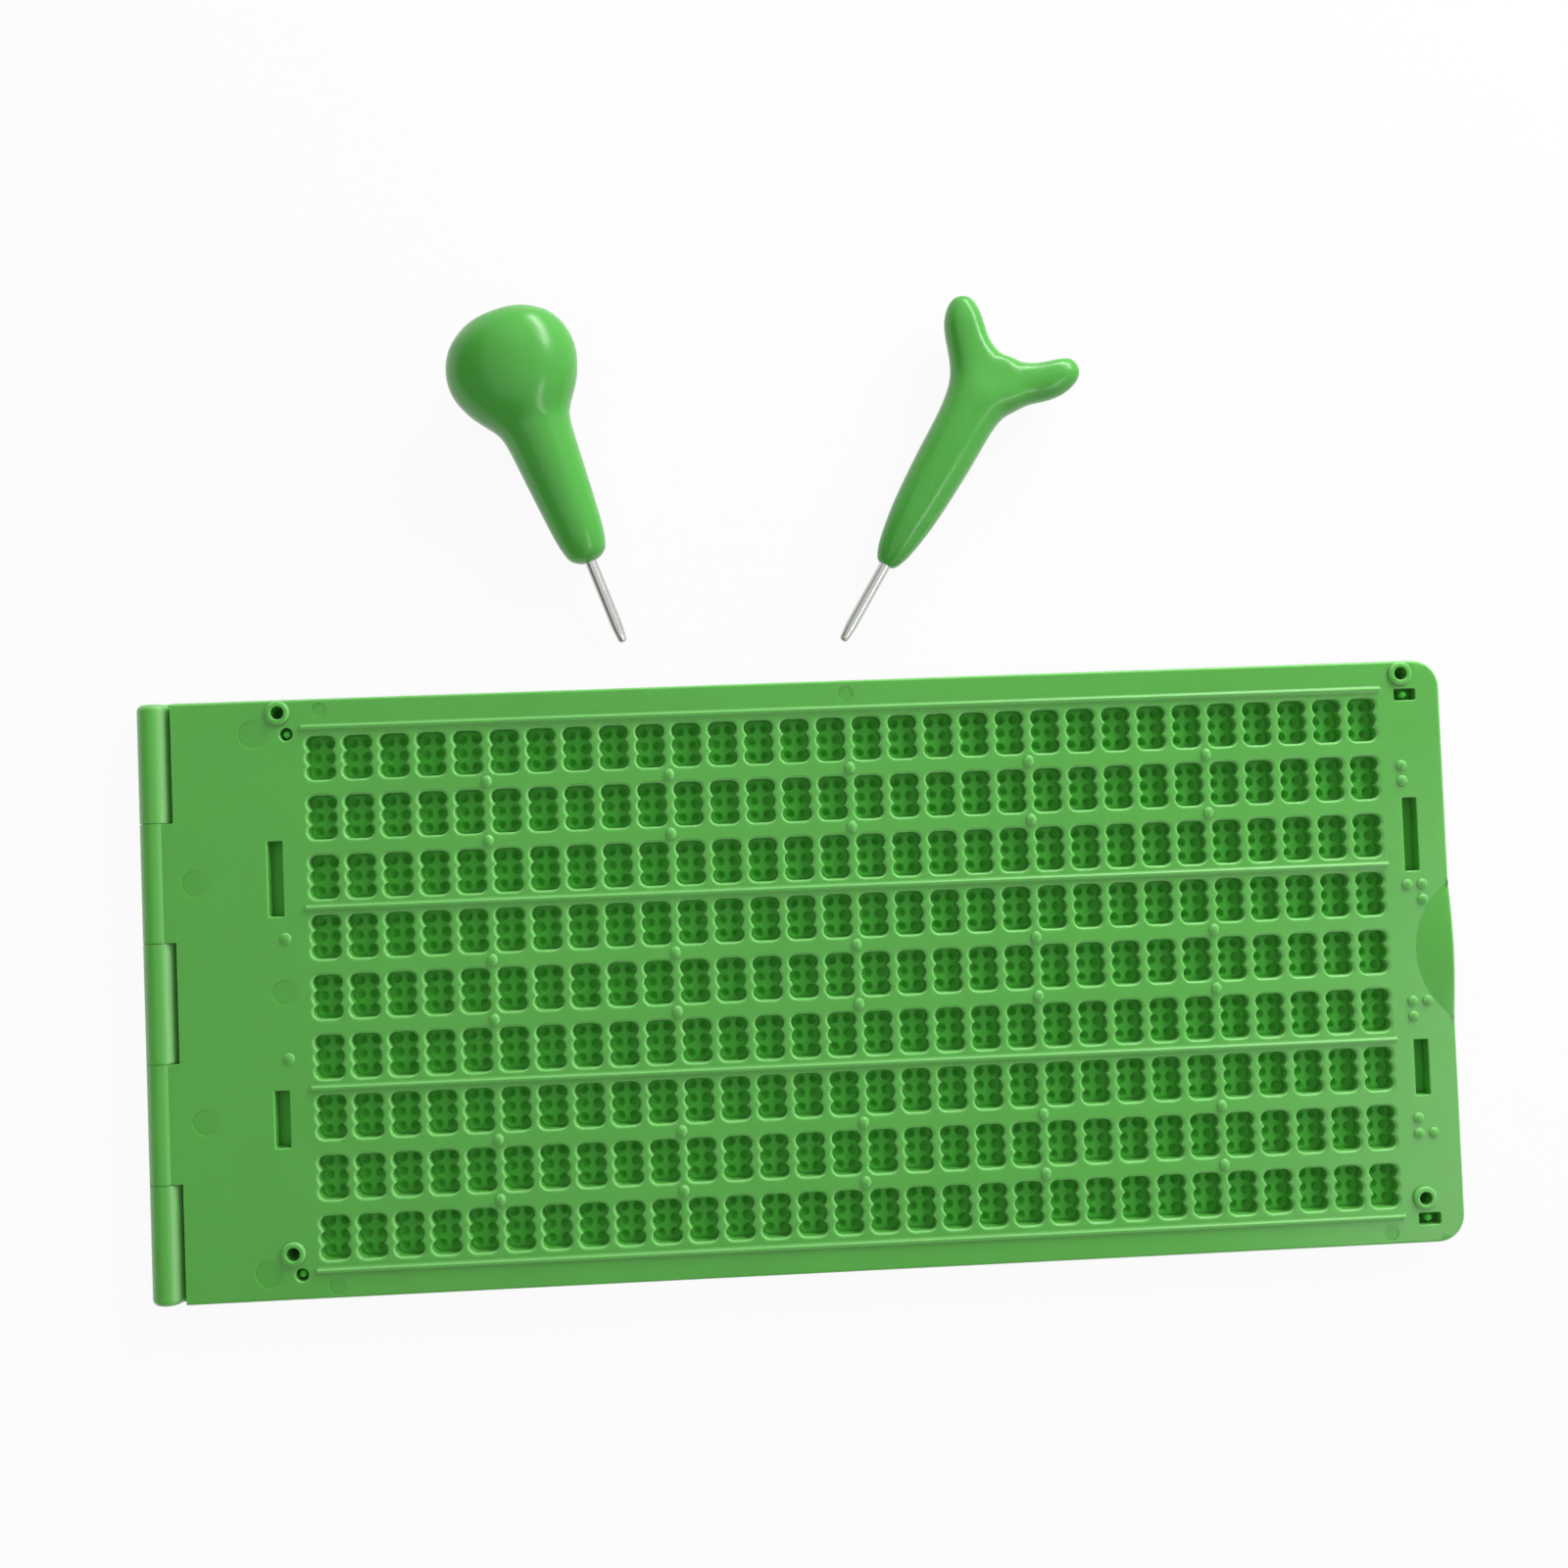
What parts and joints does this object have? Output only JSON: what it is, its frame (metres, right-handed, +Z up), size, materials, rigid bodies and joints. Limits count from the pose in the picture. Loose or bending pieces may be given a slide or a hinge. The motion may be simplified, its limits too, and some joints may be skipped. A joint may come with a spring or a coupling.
{
  "type": "braille writing slate",
  "caption": "Hinged plastic braille writing slate: a window plate folds over a pit plate to hold paper, with a round knob stylus and a forked stylus lying beside it.",
  "frame": {"origin": "centre of the slate's flat underside, with the slate closed", "axes": "+X from the hinge to the lifting lip, +Y towards the first line of cells, +Z up out of the window plate"},
  "size_m": [0.2222, 0.165, 0.0162],
  "materials": {
    "pit_plate_plastic": "satin moulded green plastic",
    "window_plate_plastic": "satin moulded green plastic",
    "stylus_plastic": "glossy moulded green plastic",
    "steel": "drawn steel"
  },
  "bodies": {
    "pit_leaf": {"pit_plate": "pit_plate_plastic", "hinge_pin": "steel"},
    "window_leaf": {"window_plate": "window_plate_plastic"},
    "knob_stylus": {"knob_stylus_handle": "stylus_plastic", "knob_stylus_needle": "steel"},
    "fork_stylus": {"fork_stylus_handle": "stylus_plastic", "fork_stylus_needle": "steel"}
  },
  "joints": [
    {"name": "window_leaf_hinge", "type": "hinge", "parent": "pit_leaf", "child": "window_leaf", "pos_m": [-0.10844, 0, 0.0027], "axis": [0, -1, 0], "range_deg": [0, 180]},
    {"name": "knob_stylus_lift", "type": "slide", "parent": "pit_leaf", "child": "knob_stylus", "axis": [0, 0, 1], "range_m": [0, 0.06]},
    {"name": "fork_stylus_lift", "type": "slide", "parent": "pit_leaf", "child": "fork_stylus", "axis": [0, 0, 1], "range_m": [0, 0.06]}
  ]
}
